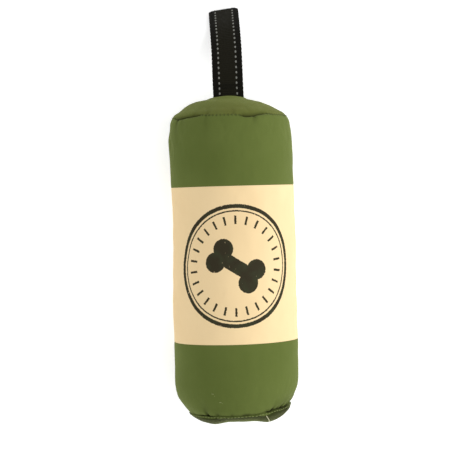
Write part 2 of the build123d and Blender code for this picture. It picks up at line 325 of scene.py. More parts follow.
def pill_mesh(name, centres, along, across, out, size, squareness=0.7):
    """One mesh of many small rounded pills. Each has its own axes and the same length, width and height."""
    sides, levels = 8, 7
    ring = np.arange(sides) * TURN / sides
    tilt = np.linspace(-math.pi / 2, math.pi / 2, levels)

    def power(v):
        return np.sign(v) * np.abs(v) ** squareness

    shell = np.stack(
        [
            power(np.sin(tilt))[:, None] + 0 * ring,
            power(np.cos(tilt))[:, None] * power(np.cos(ring)),
            power(np.cos(tilt))[:, None] * power(np.sin(ring)),
        ],
        2,
    ).reshape(-1, 3) * np.array(size) / 2
    axes = enumerate((along, across, out))
    points = centres[:, None] + sum(shell[None, :, k : k + 1] * axis[:, None] for k, axis in axes)
    index = np.arange(levels * sides).reshape(levels, sides)
    following = np.roll(index, -1, 1)
    quads = np.stack([index[:-1], following[:-1], following[1:], index[1:]], 2).reshape(-1, 4)
    faces = (quads[None] + (np.arange(len(centres)) * index.size)[:, None, None]).reshape(-1, 4)
    mesh = bpy.data.meshes.new(name)
    mesh.from_pydata(points.reshape(-1, 3).tolist(), [], faces.tolist())
    mesh.shade_smooth()
    return mesh


def unit(vectors):
    return vectors / (np.linalg.norm(vectors, axis=-1, keepdims=True) + 1e-12)


# ---- materials ----


class Nodes:
    """Short names for building a node material."""

    def __init__(self, name):
        self.material = bpy.data.materials.new(name)
        self.material.use_nodes = True
        self.tree = self.material.node_tree
        self.shader = self.tree.nodes["Principled BSDF"]

    def new(self, kind):
        return self.tree.nodes.new("ShaderNode" + kind)

    def feed(self, socket, value):
        if isinstance(value, bpy.types.NodeSocket):
            self.tree.links.new(value, socket)
        else:
            socket.default_value = value

    def math(self, operation, a, b=0.0):
        node = self.new("Math")
        node.operation = operation
        self.feed(node.inputs[0], a)
        self.feed(node.inputs[1], b)
        return node.outputs[0]

    def ramp(self, value, low, high, to_low=0.0, to_high=1.0):
        node = self.new("MapRange")
        for socket, item in zip(node.inputs[:5], (value, low, high, to_low, to_high)):
            self.feed(socket, item)
        return node.outputs[0]

    def mix(self, share, a, b, blend="MIX"):
        node = self.new("Mix")
        node.data_type = "RGBA"
        node.blend_type = blend
        self.feed(node.inputs["Factor"], share)
        self.feed(node.inputs[6], a)
        self.feed(node.inputs[7], b)
        return node.outputs[2]

    def split(self, vector):
        node = self.new("SeparateXYZ")
        self.feed(node.inputs[0], vector)
        return node.outputs

    def cloth_uv(self):
        node = self.new("UVMap")
        node.uv_map = "cloth"
        return self.split(node.outputs[0])

    def shade(self):
        node = self.new("Attribute")
        node.attribute_name = "shade"
        return node.outputs["Fac"]

    def place(self):
        return self.new("TexCoord").outputs["Object"]

    def noise(self, per_metre, detail=3.0, stretch=(1, 1, 1)):
        mapping = self.new("Mapping")
        self.feed(mapping.inputs[0], self.place())
        mapping.inputs["Scale"].default_value = [per_metre * v for v in stretch]
        node = self.new("TexNoise")
        self.feed(node.inputs["Vector"], mapping.outputs[0])
        node.inputs["Scale"].default_value = 1
        node.inputs["Detail"].default_value = detail
        return node.outputs["Fac"]

    def wave(self, value, pitch):
        """A sine from 0 to 1 that repeats every pitch metres. The number that MULTIPLY_ADD adds is 0.5."""
        turned = self.math("SINE", self.math("MULTIPLY", value, TURN / pitch))
        return self.math("MULTIPLY_ADD", turned, 0.5)

    def finish(self, colour, height, depth, roughness, sheen, specular):
        """Feeds the shader. A height of 1 stands depth metres proud."""
        bumped = self.new("Bump")
        bumped.inputs["Distance"].default_value = depth
        bumped.inputs["Strength"].default_value = 1
        self.feed(bumped.inputs["Height"], height)
        values = {
            "Normal": bumped.outputs[0],
            "Base Color": colour,
            "Roughness": roughness,
            "Sheen Weight": sheen,
            "Sheen Roughness": 0.45,
            "Specular IOR Level": specular,
        }
        for socket, value in values.items():
            self.feed(self.shader.inputs[socket], value)
        return self.material


def rgb(red, green, blue):
    """A linear colour from display values, each from 11 to 255."""
    return (*(((v / 255 + 0.055) / 1.055) ** 2.4 for v in (red, green, blue)), 1)


GREEN = rgb(96, 108, 52)
GREEN_LIGHT = rgb(99, 112, 56)
GREEN_DARK = rgb(86, 100, 45)
END_GREEN = rgb(95, 103, 47)
END_BROWN = rgb(97, 97, 45)
CREAM = rgb(245, 217, 168)
CREAM_LIGHT = rgb(248, 221, 173)
CREAM_DARK = rgb(241, 212, 162)
INK = rgb(28, 29, 20)
INK_GREEN = rgb(34, 45, 30)
WEBBING_DARK = rgb(20, 19, 12)
WEBBING_LIGHT = rgb(33, 31, 22)
WEBBING_EDGE = rgb(16, 15, 13)
# painted shade: a darkened copy of the seam thread, for stitches sunk in the seams' grooves
COVER_THREAD_SHADED = rgb(76, 87, 42), rgb(98, 110, 58)
# a paler copy of the same thread for the plain end's rim stitches: partly the thread's own colour, partly a
# painted highlight
RIM_THREAD_LIT = rgb(114, 124, 70), rgb(160, 168, 114)
TRACER_YARN = rgb(118, 118, 112), rgb(150, 150, 144)
LOOSE_THREAD = rgb(206, 204, 168), rgb(232, 230, 200)
LINT = rgb(160, 166, 114), rgb(190, 194, 150)
FOAM = rgb(224, 224, 216), rgb(205, 205, 196)
FIBRE = rgb(238, 238, 234), rgb(214, 214, 208)
PAPER = rgb(250, 250, 250), rgb(247, 247, 247)
WEAVE_GAP = (0.25, 0.25, 0.25, 1)  # what the gaps in the weave are multiplied by
PAINTED_SHADE = (0.08, 0.07, 0.05, 1)  # painted shade: what cloth is multiplied by where its shade attribute is 1
CANVAS_SHEEN = (0.88, 0.95, 0.35, 1)
CANVAS_PITCH = 0.45 * MM
CANVAS_SPECULAR = 0.06


def weave_height(nodes, u, v, pitch):
    """Plain weave: warp and weft threads that take turns on top."""
    warp = nodes.wave(u, pitch)
    weft = nodes.wave(v, pitch)
    over = nodes.math("MULTIPLY", nodes.wave(u, 2 * pitch), nodes.wave(v, 2 * pitch))
    threads = nodes.math("ADD", nodes.math("MULTIPLY", warp, over), nodes.math("SUBTRACT", 1, over))
    return nodes.math("ADD", threads, weft)


def canvas_colour(nodes, base, light, dark):
    """Cloth colour with slow patches, slubs along the threads and paler worn fibres."""
    patches = nodes.ramp(nodes.noise(22), 0.35, 0.65)
    slubs = nodes.ramp(nodes.noise(260, 2, (1, 0.12, 1)), 0.4, 0.7)
    toned = nodes.mix(patches, dark, light)
    return nodes.mix(nodes.math("MULTIPLY", slubs, 0.15), nodes.mix(0.6, toned, base), light)


def canvas_finish(nodes, colour, sheen=0.0):
    u, v, _ = nodes.cloth_uv()
    weave = weave_height(nodes, u, v, CANVAS_PITCH)
    fuzz = nodes.noise(1500, 2)
    crumple = nodes.noise(90, 3)
    height = nodes.math("ADD", nodes.math("ADD", weave, fuzz), nodes.math("MULTIPLY", crumple, 4))
    shaded = nodes.mix(nodes.ramp(weave, 0.2, 1.6, 0.06, 0), colour, WEAVE_GAP, "MULTIPLY")
    # painted shade: the cloth is darkened where the mesh's shade attribute is high
    shaded = nodes.mix(nodes.shade(), shaded, PAINTED_SHADE, "MULTIPLY")
    roughness = nodes.ramp(fuzz, 0.3, 0.7, 0.72, 0.88)
    nodes.shader.inputs["Sheen Tint"].default_value = CANVAS_SHEEN
    return nodes.finish(shaded, height, 0.03 * MM, roughness, sheen, CANVAS_SPECULAR)


def canvas_material(name, base, light, dark):
    nodes = Nodes(name)
    return canvas_finish(nodes, canvas_colour(nodes, base, light, dark), sheen=0.12)


BADGE_Y = (BAND_TOP_Y + BAND_BOTTOM_Y) / 2 - 0.6 * MM
BADGE_ANGLE = TURN / 4 - 0.02
BADGE_RADIUS = 47.8 * MM
BADGE_LINE = 1.6 * MM
BADGE_INNER_RADIUS = 44 * MM
BADGE_INNER_LINE = 0.6 * MM
BADGE_DASHES = 26
BADGE_DASH_RADIUS = 36.8 * MM
BADGE_DASH_LENGTH = 7 * MM
BADGE_DASH_LINE = 0.9 * MM
BONE_TILT = math.radians(32)
BONE_REACH = 16 * MM
BONE_THICK = 5.6 * MM
KNOB_RADIUS = 8.2 * MM
KNOB_OFFSET = 6.3 * MM
INK_RAGGED = 1.1 * MM


def badge_depth(nodes, u, v):
    """How far a point is inside the printed badge's shapes, in metres: rings, short rays and a bone."""
    calc = nodes.math

    def distance(a, b):
        return calc("SQRT", calc("ADD", calc("POWER", a, 2), calc("POWER", b, 2)))

    def line(value, centre, half):
        return calc("SUBTRACT", half, calc("ABSOLUTE", calc("SUBTRACT", value, centre)))

    x = calc("SUBTRACT", u, BADGE_ANGLE * RADIUS)
    y = calc("SUBTRACT", v, BADGE_Y)
    from_middle = distance(x, y)
    outer = line(from_middle, BADGE_RADIUS, BADGE_LINE)
    inner = line(from_middle, BADGE_INNER_RADIUS, BADGE_INNER_LINE)

    turned = calc("MULTIPLY", calc("ARCTAN2", y, x), BADGE_DASHES / TURN)
    off_ray = calc("SUBTRACT", calc("FRACT", turned), 0.5)
    sideways = calc("MULTIPLY", calc("MULTIPLY", off_ray, from_middle), TURN / BADGE_DASHES)
    dash = line(from_middle, BADGE_DASH_RADIUS, BADGE_DASH_LENGTH / 2)
    rays = calc("MINIMUM", line(sideways, 0, BADGE_DASH_LINE), dash)

    cosine, sine = math.cos(BONE_TILT), math.sin(BONE_TILT)
    along = calc("ADD", calc("MULTIPLY", x, cosine), calc("MULTIPLY", y, sine))
    over = calc("SUBTRACT", calc("MULTIPLY", y, cosine), calc("MULTIPLY", x, sine))
    shaft = calc("MINIMUM", line(along, 0, BONE_REACH), line(over, 0, BONE_THICK))
    knob_x = calc("SUBTRACT", calc("ABSOLUTE", along), BONE_REACH)
    knob_y = calc("SUBTRACT", calc("ABSOLUTE", over), KNOB_OFFSET)
    bone = calc("MAXIMUM", shaft, calc("SUBTRACT", KNOB_RADIUS, distance(knob_x, knob_y)))
    return calc("MAXIMUM", calc("MAXIMUM", calc("MAXIMUM", outer, inner), rays), bone)


def band_material():
    """Pale canvas with a round badge printed in worn dark ink."""
    nodes = Nodes("cream_canvas")
    cloth = canvas_colour(nodes, CREAM, CREAM_LIGHT, CREAM_DARK)
    u, v, _ = nodes.cloth_uv()
    ragged = nodes.math("SUBTRACT", nodes.noise(900, 3), 0.5)
    ragged = nodes.math("MULTIPLY", ragged, INK_RAGGED)
    depth = nodes.math("ADD", badge_depth(nodes, u, v), ragged)
    printed = nodes.ramp(depth, -0.1 * MM, 0.15 * MM)
    worn = nodes.ramp(nodes.noise(420, 5), 0.26, 0.32)
    ink = nodes.mix(nodes.ramp(nodes.noise(130, 2), 0.4, 0.7), INK, INK_GREEN)
    cover = nodes.math("MULTIPLY", printed, nodes.ramp(worn, 0, 1, 0.25, 0.97))
    return canvas_finish(nodes, nodes.mix(cover, cloth, ink))


def webbing_material():
    """Dark webbing with a rib across it at each weft thread and a flat middle."""
    nodes = Nodes("webbing")
    u, v, _ = nodes.cloth_uv()
    rib = nodes.wave(v, RIB_PITCH)
    cord = nodes.wave(u, CORD_PITCH)
    margin = nodes.ramp(nodes.math("ABSOLUTE", u), 0.29 * WEBBING_WIDTH, 0.34 * WEBBING_WIDTH)
    fuzz = nodes.noise(1400, 3)
    tone = nodes.mix(nodes.ramp(fuzz, 0.3, 0.75), WEBBING_DARK, WEBBING_LIGHT)
    tone = nodes.mix(nodes.math("MULTIPLY", rib, 0.35), tone, WEBBING_LIGHT)
    tone = nodes.mix(nodes.math("MULTIPLY", margin, 0.7), tone, WEBBING_EDGE)
    height = nodes.math("ADD", nodes.math("MULTIPLY", rib, 2), nodes.math("ADD", cord, fuzz))
    roughness = nodes.ramp(fuzz, 0.3, 0.7, 0.6, 0.8)
    return nodes.finish(tone, height, 0.1 * MM, roughness, sheen=0.0, specular=CANVAS_SPECULAR)


def thread_material(name, colour, light):
    """Twisted sewing thread: fine diagonal strands."""
    nodes = Nodes(name)
    x, y, z = nodes.split(nodes.place())
    twist = nodes.wave(nodes.math("ADD", nodes.math("ADD", x, y), z), 0.35 * MM)
    fuzz = nodes.noise(2500, 2)
    tone = nodes.mix(nodes.math("MULTIPLY", twist, fuzz), colour, light)
    height = nodes.math("ADD", twist, fuzz)
    return nodes.finish(tone, height, 0.05 * MM, roughness=0.7, sheen=0.0, specular=0.1)


def fill_material(name, colour, shade, per_metre):
    """Foam or loose fibre: soft lumps with a fine grain."""
    nodes = Nodes(name)
    lumps = nodes.noise(per_metre, 5)
    tone = nodes.mix(nodes.ramp(lumps, 0.3, 0.7), shade, colour)
    return nodes.finish(tone, lumps, 1.5 * MM, roughness=0.95, sheen=0.2, specular=0.15)


green_canvas = canvas_material("green_canvas", GREEN, GREEN_LIGHT, GREEN_DARK)
end_canvas = canvas_material("end_canvas", END_GREEN, GREEN_LIGHT, END_BROWN)
cream_canvas = band_material()
webbing = webbing_material()
cover_thread = thread_material("cover_thread", *COVER_THREAD_SHADED)
rim_thread = thread_material("rim_thread", *RIM_THREAD_LIT)
tracer_yarn = thread_material("tracer_yarn", *TRACER_YARN)
dark_thread = thread_material("dark_thread", WEBBING_DARK, WEBBING_EDGE)
pale_thread = thread_material("pale_thread", *LOOSE_THREAD)
lint_fibre = thread_material("lint_fibre", *LINT)
foam = fill_material("foam", *FOAM, 900)
fibre = fill_material("fibre", *FIBRE, 160)


# ---- cloth simulation of the cover ----

SIM_AROUND = 128
SIM_STEP = 3 * MM
SIM_START_INSET = 1.2 * MM
SIM_CREASES = 0.5 * MM
SIM_FRAMES = 20
SIM_CAP = 4 * MM


def sim_rows():
    bounds = (0, S_STRAP_SEAM, S_PLAIN_SEAM, S_POLE)
    parts = [
        np.linspace(low, high, round((high - low) / SIM_STEP))[1:] for low, high in zip(bounds, bounds[1:])
    ]
    return np.concatenate([[0], *parts])


def simulated_swell(rows):
    """Swells the cover by cloth simulation, with both ring seams drawn tight. Returns each point's shift."""
    grid = cover_points(rows, np.arange(SIM_AROUND) * TURN / SIM_AROUND)
    outward = grid_normals(grid)
    uneven = [noise.noise(Vector(p) * 85) + noise.noise(Vector(p) * 40) for p in grid.reshape(-1, 3)]
    uneven = np.array(uneven).reshape(grid.shape[:2] + (1,))
    start = grid + outward * (SIM_CREASES * uneven - SIM_START_INSET)
    cover = linked("cover_sim", grid_mesh("cover_sim", start, caps=(0, -1)))
    tightened = cover.vertex_groups.new(name="seams")
    pinned = cover.vertex_groups.new(name="held")
    for row, s in enumerate(rows):
        members = list(range(row * SIM_AROUND, (row + 1) * SIM_AROUND))
        gap = min(abs(s - S_STRAP_SEAM), abs(s - S_PLAIN_SEAM))
        held = s < 2 * SIM_STEP or s > S_POLE - 3 * SIM_STEP
        tightened.add(members, float(bump(gap, 1.2 * SIM_STEP)), "REPLACE")
        pinned.add(members, float(held), "REPLACE")

    cloth = cover.modifiers.new("swell", "CLOTH").settings
    cloth.quality = 6
    cloth.mass = 0.2
    cloth.tension_stiffness = 25
    cloth.compression_stiffness = 25
    cloth.bending_stiffness = 0.3
    cloth.use_pressure = True
    cloth.uniform_pressure_force = 4
    cloth.effector_weights.gravity = 0
    cloth.vertex_group_mass = "held"
    cloth.vertex_group_shrink = "seams"
    cloth.shrink_min = -0.02
    cloth.shrink_max = 0.07
    for number in range(1, SIM_FRAMES + 1):
        bpy.context.scene.frame_set(number)
    swollen = cover.evaluated_get(bpy.context.evaluated_depsgraph_get()).to_mesh()
    found = np.empty(len(swollen.vertices) * 3, np.float32)
    swollen.vertices.foreach_get("co", found)
    bpy.data.objects.remove(cover)
    bpy.context.scene.frame_set(1)

    shift = found.reshape(grid.shape) - grid
    swell = np.sum(shift * outward, axis=2)
    shift -= outward * swell.mean(axis=1)[:, None, None]
    shift[:, :, 1] -= shift[:, :, 1].mean(axis=1)[:, None]
    reach = np.linalg.norm(shift, axis=2, keepdims=True)
    return shift * np.minimum(1, SIM_CAP / (reach + 1e-9))


# ---- the finished cover ----

FINE_STEP = 0.35 * MM
COARSE_STEP = 1.5 * MM
STEP_GROWTH = 0.18
angles = np.arange(AROUND) * TURN / AROUND


def close_rows(low, high):
    """Places from low to high that get closer together towards both ends."""
    places = [low]
    while places[-1] < high:
        gap = min(places[-1] - low, high - places[-1])
        places.append(places[-1] + min(COARSE_STEP, FINE_STEP + STEP_GROWTH * max(gap, 0)))
    places = np.array(places)
    return low + (places - low) * (high - low) / (places[-1] - low)


seam_places = (0, S_STRAP_SEAM, S_BAND_TOP, S_BAND_BOTTOM, S_PLAIN_SEAM, S_POLE)
row_parts = [close_rows(low, high) for low, high in zip(seam_places, seam_places[1:])]
cover_rows = np.concatenate([[0]] + [part[1:] for part in row_parts])
seam_rows = np.cumsum([0] + [len(part) - 1 for part in row_parts])
s_grid = cover_rows[:, None] + 0 * angles

STITCH_PITCH = 3.1 * MM
HIDDEN_PITCH = 2.6 * MM
RIM_PITCH = 2.9 * MM
CENTRE_PITCH = 3 * MM
SIDE_SEAM_TURN = 0.66  # where the side seam is, as a share of a turn from +X towards the top
LOOSE_END_TURN = 0.159
STITCH = (1.9 * MM, 0.6 * MM, 0.6 * MM)  # one stitch's length, width and height
STRAP_GROOVE = 0.25  # in millimetres, all along the strap end's seam
STRAP_DEEPER = 3  # and how much deeper it is in a crease
PLAIN_GROOVE = 0.5
PLAIN_DEEPER = 2.6
CREASE_REACH = 1.4 * MM  # how far from a creased seam the painted shade reaches
HOLE_REACH = 0.8 * MM
STRAP_CREASES = ((121, 155), (53, 77))  # degrees from +X towards the top
PLAIN_CREASES = ((12, 56), (122, 136))
PLAIN_CALM = ((142, 225), (-40, 3))  # where the plain end's seam lies flat


def turned_from(degrees):
    """Each column's angle from one given in degrees, from minus to plus half a turn."""
    return (angles - math.radians(degrees) + math.pi) % TURN - math.pi


def arc_share(arcs, fade=5):
    """1 along the given arcs, in degrees, and 0 elsewhere."""
    share = np.zeros(len(angles))
    for start, end in arcs:
        middle, half = (start + end) / 2, (end - start) / 2
        off = np.abs((np.degrees(angles) - middle + 180) % 360 - 180)
        share = np.maximum(share, 1 - smooth(off, half - fade, half + fade))
    return share


underside = smooth(-np.sin(angles), 0, 0.3)
strap_crease = underside * smooth(ring_noise(angles, 5, 3), -0.05, 0.45)
strap_crease = np.maximum(arc_share(STRAP_CREASES), strap_crease) * (0.95 + 0.25 * ring_noise(angles, 22, 5))
plain_crease = underside * smooth(ring_noise(angles, 6, 8), -0.2, 0.4)
plain_crease = np.maximum(arc_share(PLAIN_CREASES), plain_crease)
plain_crease = (0.12 + 0.88 * plain_crease) * (0.85 + 0.4 * ring_noise(angles, 24, 9))
plain_fuss = 1 - 0.9 * arc_share(PLAIN_CALM, 9)
plain_crease *= plain_fuss
strap_crease, plain_crease = np.clip(strap_crease, 0, 1), np.clip(plain_crease, 0, 1)


def pucker(seam, side, at, depth, reach, slant=0.0, width=1.6 * MM):
    """One short gather that runs away from a ring seam, at an angle in degrees, on one side of the seam."""
    away = ((s_grid - seam) * side).clip(0)
    sideways = turned_from(at)[None] * RADIUS - slant * away
    shape = bump(sideways, width * (0.6 + away / reach)) * np.exp(-away / reach)
    return -depth * shape * smooth((s_grid - seam) * side, 0, 1.2 * MM)


def random_puckers(seam, side, count, depth, reach):
    """Gathers of very unequal depth all round a ring seam."""
    found = np.zeros_like(s_grid)
    for at in (np.arange(count) + dice.uniform(-0.4, 0.4, count)) * 360 / count:
        strength = depth * dice.uniform(0.15, 1) ** 2
        found += pucker(seam, side, at, strength, reach * dice.uniform(0.5, 1.2), dice.uniform(-0.35, 0.35))
    return found


def cover_gathers():
    """The gathers beside both ring seams."""
    found = random_puckers(S_STRAP_SEAM, 1, 17, 0.5 * MM, 8 * MM)
    found += random_puckers(S_STRAP_SEAM, -1, 13, 0.5 * MM, 6 * MM)
    found += random_puckers(S_PLAIN_SEAM, -1, 19, 0.9 * MM, 4 * MM)
    found += random_puckers(S_PLAIN_SEAM, 1, 19, 0.9 * MM, 6 * MM)
    found += pucker(S_STRAP_SEAM, 1, 150, 1.3 * MM, 7 * MM)
    found += pucker(S_STRAP_SEAM, 1, 65, 1.1 * MM, 4 * MM, 0.2)
    found += pucker(S_STRAP_SEAM, 1, 113, 0.35 * MM, 10 * MM)
    found += pucker(S_STRAP_SEAM, -1, 112, 0.7 * MM, 5 * MM)
    found += pucker(S_STRAP_SEAM, -1, 86, 0.6 * MM, 5 * MM)
    found += pucker(S_PLAIN_SEAM, -1, 125, 1.9 * MM, 5 * MM)
    found += pucker(S_PLAIN_SEAM, -1, 112, 1.1 * MM, 3 * MM)
    for at, depth in ((51, 1.5), (44, 1.2), (36, 2), (27, 1.8), (19, 2.2), (12, 1.6)):
        found += pucker(S_PLAIN_SEAM, -1, at, depth * MM, 4.5 * MM, -0.3, 2 * MM)
    return found


to_strap = s_grid - S_STRAP_SEAM
to_plain = s_grid - S_PLAIN_SEAM
gathers = cover_gathers()


def cover_detail():
    """Height of the small shapes on the cover: grooves at seams, the fullness beside them and gathers."""
    groove_width = (0.8 + 0.4 * strap_crease) * MM
    height = -(STRAP_GROOVE + STRAP_DEEPER * strap_crease) * MM * bump(to_strap, groove_width)
    height -= (PLAIN_GROOVE + PLAIN_DEEPER * plain_crease) * MM * bump(to_plain, 0.9 * MM)
    height += 0.5 * MM * bump(np.abs(to_strap) - 4.5 * MM, 3.2 * MM)
    height += 0.6 * MM * plain_fuss * bump(np.abs(to_plain) - 5 * MM, 3.5 * MM)
    for seam in (S_BAND_TOP, S_BAND_BOTTOM):
        height -= 0.15 * MM * bump(s_grid - seam, 0.7 * MM)
    return height + gathers


def seam_shade():
    """Painted shade on the cloth: darker in creases and needle holes, over the plain end, in the gathers and
    underneath.
    """
    hole_count = round(TURN * STRAP_SEAM_RADIUS / STITCH_PITCH)
    holes = np.clip(1.6 * np.sin(angles * hole_count) + ring_noise(angles, 30, 2), 0, 1)
    # painted shade in the strap end's creases, and needle holes painted as dark shade along the rest of that
    # seam
    shade = 1.1 * strap_crease * bump(to_strap, CREASE_REACH)
    shade += holes * (1 - strap_crease) * bump(to_strap, HOLE_REACH)
    # painted shade along the plain end's seam, and spots of painted shade just before it
    shade += (0.12 + 0.85 * plain_crease) * bump(to_plain, 1.2 * MM)
    spots = np.clip(1.5 * ring_noise(angles, 44, 12), 0, 1) * smooth(np.sin(angles), -0.2, 0.2)
    shade += 0.55 * spots * bump(to_plain + 0.8 * MM, 1.7 * MM)
    # painted shade over the plain end from its lit rim inwards, deepest near the rim on its upper half
    lit_rim = (1.8 * arc_share(((55, 165),), 12) + 3.2 * arc_share(((58, 104),), 12)) * MM
    end_shade = 0.2 + 0.65 * (1 - smooth(to_plain, 13 * MM, 27 * MM)) * smooth(np.sin(angles), -0.4, 0.2)
    shade += end_shade * smooth(to_plain, lit_rim, lit_rim + 3 * MM)
    # painted shade in the gathers and on the underside near the floor
    shade += 0.55 * np.clip(-gathers / MM, 0, 1)
    shade += 0.35 * (1 - smooth(cover[:, :, 2], 1 * MM, 24 * MM))
    return np.clip(shade, 0, 1)


swell_rows = sim_rows()
swell = simulated_swell(swell_rows)
swell = cubic(swell, np.interp(cover_rows, swell_rows, np.arange(len(swell_rows))), False)
# near both ring seams the fine shapes below take over from the swell
calm = 0.85 * bump(cover_rows - S_STRAP_SEAM, 34 * MM) + 0.9 * bump(cover_rows - S_PLAIN_SEAM, 45 * MM)
swell *= (1 - calm)[:, None, None]
swell = cubic(swell.transpose(1, 0, 2), np.arange(AROUND) * SIM_AROUND / AROUND, True).transpose(1, 0, 2)

smooth_cover = cover_points(cover_rows, angles)
cover_out = grid_normals(smooth_cover)
cover_along = unit(np.gradient(smooth_cover, axis=0))
cover = smooth_cover + swell + cover_out * cover_detail()[:, :, None]

# In a crease the cloth before the seam folds over it.
overlap = 1.2 * MM * strap_crease * bump(to_strap + 0.9 * MM, 0.7 * MM)
overlap += 1.3 * MM * plain_crease * bump(to_plain + 1 * MM, 0.8 * MM)
cover += cover_along * overlap[:, :, None]

# The plain end's seam wanders a little, and each crease of the strap end's seam runs slightly aslant.
cover += cover_along * (0.6 * MM * ring_noise(angles, 30, 14) * bump(to_plain, 3 * MM))[:, :, None]
slant = sum(
    sign * bump(turned_from(at), math.radians(9))
    for at, sign in ((150, 1), (121, -1), (72, 1), (55, -1.2))
)
cover += cover_along * (1 * MM * slant * bump(to_strap, 5 * MM))[:, :, None]

# The seam across the strap end, where its two halves meet beside the webbing.
on_dome = 1 - smooth(s_grid, S_STRAP_SEAM - 4 * MM, S_STRAP_SEAM)
beside_slot = smooth(s_grid, 0, 4 * MM)
centre_groove = 0.6 * MM * bump(smooth_cover[:, :, 2] - AXIS_Z, 0.9 * MM) * on_dome * beside_slot
cover -= cover_out * centre_groove[:, :, None]

# The plain end has a shallow trough right of its middle.
trough = PLAIN_TROUGH * np.exp(-(((smooth_cover[:, :, 0] - PLAIN_TROUGH_X) / PLAIN_TROUGH_REACH) ** 4))
cover[:, :, 1] += trough * smooth(s_grid, S_PLAIN_SEAM + 1 * MM, S_PLAIN_SEAM + 8 * MM)
cover[:, :, 2] = np.maximum(cover[:, :, 2], 0)
# painted shade for every point of the cover
shade_grid = seam_shade()


def turned_in(grid, out, along, first):
    """Two more rows that turn a panel's sewn edge inwards, so that no gap shows at the seam."""
    edge, normal, step = (grid[0], out[0], along[0]) if first else (grid[-1], out[-1], -along[-1])
    rows = [edge - normal * depth * MM + step * inset * MM for depth, inset in ((0.9, 0.15), (2.5, 0.3))]
    return np.concatenate([rows[::-1], grid]) if first else np.concatenate([grid, rows])


def panel(name, part, node, material=green_canvas, slot="green_canvas", columns=None, flat_uv=False):
    """One cloth panel of the cover, between two seams. Columns picks a part of the way round."""
    rows = slice(seam_rows[part], seam_rows[part + 1] + 1)
    grid, out, along = cover[rows], cover_out[rows], cover_along[rows]
    grid = turned_in(grid, out, along, True)
    at_pole = node == "plain_end_disc"
    if not at_pole:
        grid = turned_in(grid, out, along, False)
    extra = (2, 0 if at_pole else 2)
    s = np.pad(cover_rows[rows], extra, "edge")
    if flat_uv:
        uv = grid[:, :, ::2]
    else:
        u = angles * RADIUS
        v = BAND_TOP_Y - (s - S_BAND_TOP)
        uv = np.stack(np.broadcast_arrays(u[None], v[:, None]), 2)
    wrap = uv[:, :1].copy()
    if not flat_uv:
        wrap[:, :, 0] = TURN * RADIUS
    uv = np.concatenate([uv, wrap], 1)
    shade = np.pad(shade_grid[rows], (extra, (0, 0)), "edge")
    closed = columns is None
    if not closed:
        grid, uv, shade = (np.take(item, columns, axis=1, mode="wrap") for item in (grid, uv, shade))
    mesh = grid_mesh(name, grid, uv, closed, (-1,) if at_pole else ())
    darkening = mesh.attributes.new("shade", "FLOAT", "POINT")
    darkening.data.foreach_set("value", shade.astype(np.float32).ravel())
    piece = add_piece(name, mesh, material, slot, node)
    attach(piece, "bumper")


top_columns = np.arange(AROUND // 2 + 1)
under_columns = top_columns + AROUND // 2
panel("strap_end_top", 0, "strap_end_upper_half", end_canvas, columns=top_columns, flat_uv=True)
panel("strap_end_under", 0, "strap_end_lower_half", end_canvas, columns=under_columns, flat_uv=True)
panel("upper_sleeve", 1, "upper_panel")
panel("band", 2, "middle_band", cream_canvas, "cream_canvas")
panel("lower_sleeve", 3, "lower_panel")
panel("plain_end", 4, "plain_end_disc", flat_uv=True)


# ---- filling ----

FILL_AROUND = 96
FILL_DEPTH = 5  # how far under the cover's outside the fibre lies, in millimetres
fill_rows = np.linspace(3 * MM, S_POLE - 1 * MM, 90)
fill_angles = np.arange(FILL_AROUND) * TURN / FILL_AROUND
fill_grid = cover_points(fill_rows, fill_angles)
fill_lumps = np.array([noise.noise(Vector(p) * 120) for p in fill_grid.reshape(-1, 3)])
fill_grid -= grid_normals(fill_grid) * ((FILL_DEPTH + fill_lumps) * MM).reshape(-1, FILL_AROUND, 1)
fill_mesh = grid_mesh("filling", fill_grid, caps=(0, -1))
filling = add_piece("filling", fill_mesh, fibre, "fibre", "fibre_filling")
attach(filling, "bumper")

CORE_ROUNDING = 4 * MM
core_low, core_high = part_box("foam_core")
core_y = np.linspace(core_low.y, core_high.y, 60)
core_edge = np.minimum(core_y - core_low.y, core_high.y - core_y)
core_radius = core_high.x - CORE_ROUNDING * (1 - smooth(core_edge, 0, 5 * MM))
core_x = core_radius[:, None] * np.cos(fill_angles)
core_z = AXIS_Z + core_radius[:, None] * np.sin(fill_angles)
core_grid = np.stack(np.broadcast_arrays(core_x, core_y[:, None], core_z), 2)
core_grid += 0.4 * MM * dice.standard_normal(core_grid.shape)
core = add_piece("core", grid_mesh("core", core_grid, caps=(0, -1)), foam, "foam", "foam_core")
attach(core, "bumper")


# ---- seam stitches ----


def stitch_line(name, points, out, pitch, node, material=cover_thread):
    """Stitches along a line of points on the cover, one every pitch."""
    lengths = lengths_along(points)
    places = np.arange(0.5 * pitch, lengths[-1], pitch)
    places = places + dice.uniform(-0.08, 0.08, len(places)) * pitch

    def between(values, wanted):
        return np.stack([np.interp(wanted, lengths, values[:, k]) for k in range(3)], 1)

    centre = between(points, places)
    normal = unit(between(out, places))
    along = unit(between(points, places + 0.2 * pitch) - centre)
    across = unit(np.cross(normal, along))
    along = unit(along + across * dice.uniform(-0.12, 0.12, (len(places), 1)))
    mesh = pill_mesh(name, centre, along, across, np.cross(along, across), STITCH)
    piece = add_piece(name, mesh, material, "cover_thread", node)
    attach(piece, "bumper")


def seam_ring(row, under):
    """A closed line of points and outward directions along a seam's row."""
    points = cover[row] - cover_out[row] * under
    return np.concatenate([points, points[:1]]), np.concatenate([cover_out[row], cover_out[row][:1]])


